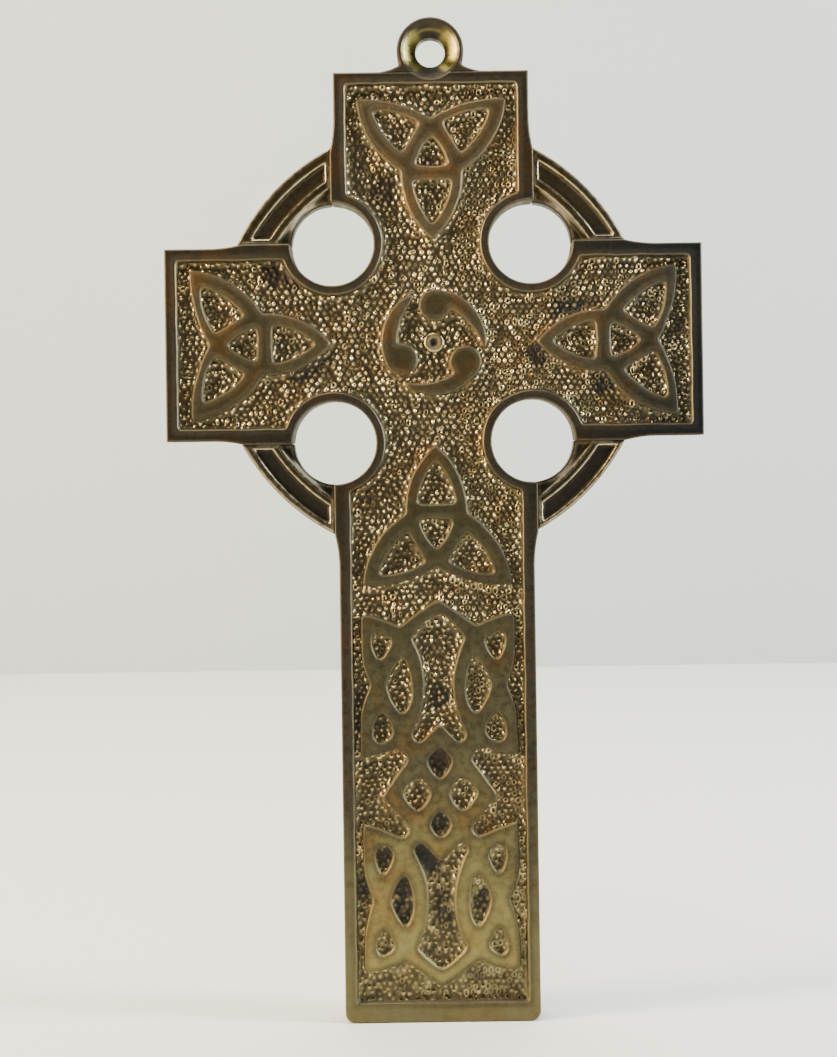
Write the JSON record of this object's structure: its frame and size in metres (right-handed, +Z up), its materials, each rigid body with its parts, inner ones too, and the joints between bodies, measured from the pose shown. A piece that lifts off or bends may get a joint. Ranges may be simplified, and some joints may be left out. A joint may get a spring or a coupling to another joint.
{
  "type": "wall cross",
  "caption": "Small ringed wall cross in cast brass with carved knotwork on a pebbled ground, round openings and a hanging eye.",
  "frame": {"origin": "middle of the foot, half way between the carved front and the flat back", "axes": "+Z up the shaft to the hanging eye, +X to the viewer's right, the carved front faces -Y and the flat back +Y"},
  "size_m": [0.1156, 0.007, 0.2162],
  "materials": {
    "brass_face": "aged brass, rubbed flat faces with fine finishing marks, dark brown to olive",
    "brass_ground": "pebbled cast ground, dark in its hollows and bright on the beads",
    "brass_ring": "cast, grooved and dulled",
    "brass_eye": "worn smooth and bright",
    "brass_back": "plain cast back and sides, dull"
  },
  "bodies": {
    "root": {"web": "brass_back", "ring_upper_left": "brass_ring", "ring_upper_right": "brass_ring", "ring_lower_left": "brass_ring", "ring_lower_right": "brass_ring", "hanging_eye": "brass_eye", "border_top_arm": "brass_face", "border_left_arm": "brass_face", "border_right_arm": "brass_face", "border_shaft": "brass_face", "collar_upper_left": "brass_face", "collar_upper_right": "brass_face", "collar_lower_left": "brass_face", "collar_lower_right": "brass_face", "ground_top_arm": "brass_ground", "ground_left_arm": "brass_ground", "ground_right_arm": "brass_ground", "ground_crossing": "brass_ground", "ground_shaft": "brass_ground", "triquetra_top": "brass_face", "triquetra_left": "brass_face", "triquetra_right": "brass_face", "triquetra_bottom": "brass_face", "triskele_comma_1": "brass_face", "triskele_comma_2": "brass_face", "triskele_comma_3": "brass_face", "centre_bead": "brass_ground", "knot_upper": "brass_face", "knot_lattice": "brass_face", "knot_lower": "brass_face"}
  },
  "joints": []
}
